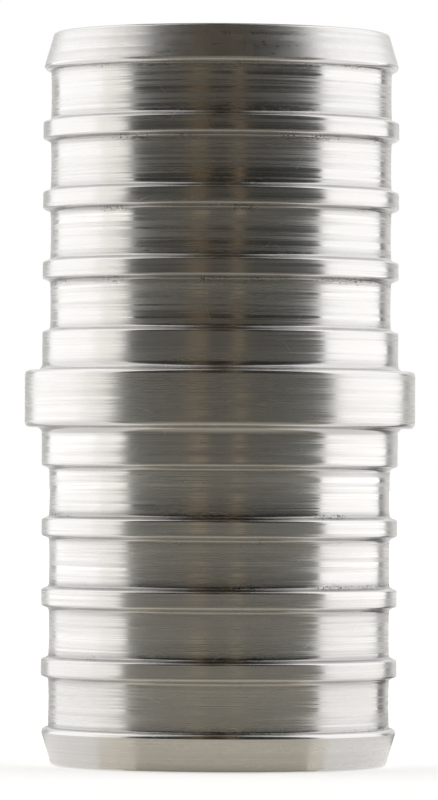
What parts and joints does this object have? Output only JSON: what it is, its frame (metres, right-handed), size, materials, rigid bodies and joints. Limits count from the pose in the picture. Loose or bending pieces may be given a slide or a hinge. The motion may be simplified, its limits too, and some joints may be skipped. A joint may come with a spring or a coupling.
{
  "type": "pex crimp coupling",
  "caption": "Straight turned steel coupling with a ribbed insert at each end and a stop collar between, to join two flexible water tubes with crimp rings.",
  "frame": {"origin": "centre of the lower end face, on the axis of the bore", "axes": "+Z along the axis, from the lower insert to the upper one; X and Y are alike, because the part is round"},
  "size_m": [0.0242, 0.0242, 0.0452],
  "materials": {
    "turned_stainless_steel": "fine turned, satin"
  },
  "bodies": {
    "root": {"coupling": "turned_stainless_steel"}
  },
  "joints": []
}
